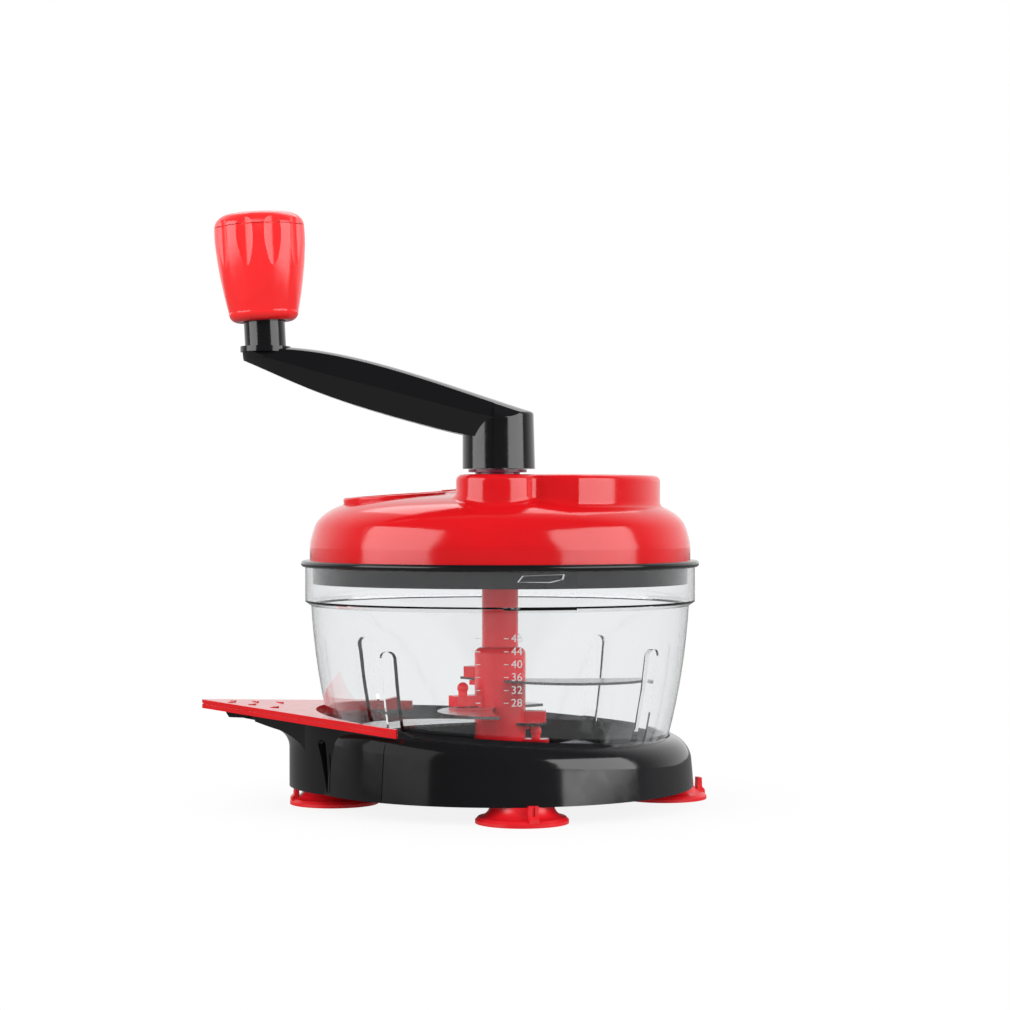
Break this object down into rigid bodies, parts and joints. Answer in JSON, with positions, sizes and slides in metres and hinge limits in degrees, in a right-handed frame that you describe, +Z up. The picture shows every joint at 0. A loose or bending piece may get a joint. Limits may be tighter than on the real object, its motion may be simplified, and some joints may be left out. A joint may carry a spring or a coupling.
{
  "type": "food mill",
  "caption": "Hand-crank food chopper with a clear bowl, curved blades on a post, a geared lid with an offset crank and a base on suction cups.",
  "frame": {"origin": "on the table, under the axis of the bowl, at the level of the suction cups' rims", "axes": "+Z up along the bowl's axis; -X towards the tip of the press plate; -Y towards the side with the crank's axis"},
  "size_m": [0.2371, 0.195, 0.2686],
  "materials": {
    "red_plastic": "high gloss moulded",
    "black_plastic": "gloss moulded",
    "clear_plastic": "clear polished",
    "red_rubber": "satin soft",
    "steel": "brushed",
    "gear_nylon": "natural nylon",
    "bush_plastic": "satin moulded"
  },
  "bodies": {
    "base": {"base_body": "black_plastic", "thumb_plate": "red_plastic", "plate_screws": "steel", "suction_cup_front": "red_rubber", "suction_cup_right": "red_rubber", "suction_cup_back": "red_rubber", "suction_cup_left": "red_rubber"},
    "bowl": {"bowl": "clear_plastic", "pivot_pin": "steel"},
    "cutter": {"cutter_hub": "red_plastic", "blade_1": "steel", "blade_2": "steel", "blade_3": "steel", "blade_4": "steel", "blade_clip_1": "red_plastic", "blade_clip_2": "red_plastic", "blade_clip_3": "red_plastic", "blade_clip_4": "red_plastic"},
    "lid": {"lid_base": "black_plastic", "lid_cover": "red_plastic", "cover_screws": "steel", "crank_bush": "bush_plastic", "layshaft_pin": "steel", "output_bush": "bush_plastic"},
    "feed_cap": {"feed_cap": "red_plastic"},
    "crank": {"crank_arm": "black_plastic", "crank_shaft": "steel", "crank_gear": "gear_nylon", "crank_screw": "steel", "knob_bolt": "steel"},
    "knob": {"knob_body": "red_plastic", "knob_cap": "red_plastic"},
    "idler": {"idler_gear": "gear_nylon"},
    "drive": {"output_gear": "gear_nylon", "drive_shaft": "red_plastic", "shaft_screw": "steel"}
  },
  "joints": [
    {"name": "bowl_lift", "type": "slide", "parent": "base", "child": "bowl", "axis": [0, 0, 1], "range_m": [0, 0.06]},
    {"name": "lid_lift", "type": "slide", "parent": "bowl", "child": "lid", "axis": [0, 0, 1], "range_m": [0, 0.07]},
    {"name": "feed_cap_lift", "type": "slide", "parent": "lid", "child": "feed_cap", "axis": [-0.0675, -0.0176, 0.9976], "range_m": [0, 0.025]},
    {"name": "crank_turn", "type": "hinge", "parent": "lid", "child": "crank", "pos_m": [-0.001, -0.056, 0.155], "axis": [0, 0, 1], "continuous": true},
    {"name": "knob_spin", "type": "hinge", "parent": "crank", "child": "knob", "pos_m": [-0.1042, -0.056, 0.2084], "axis": [-0.0523, 0, 0.9986], "continuous": true},
    {"name": "idler_turn", "type": "hinge", "parent": "lid", "child": "idler", "pos_m": [0.02252, -0.02679, 0.125], "axis": [0, 0, 1], "continuous": true},
    {"name": "drive_turn", "type": "hinge", "parent": "lid", "child": "drive", "pos_m": [0, 0, 0.12], "axis": [0, 0, 1], "continuous": true},
    {"name": "cutter_turn", "type": "hinge", "parent": "bowl", "child": "cutter", "pos_m": [0, 0, 0.02], "axis": [0, 0, 1], "continuous": true}
  ],
  "couplings": [
    {"joint": "idler_turn", "follows": "crank_turn", "ratio": -2},
    {"joint": "drive_turn", "follows": "crank_turn", "ratio": 3.6},
    {"joint": "cutter_turn", "follows": "crank_turn", "ratio": 3.6}
  ]
}
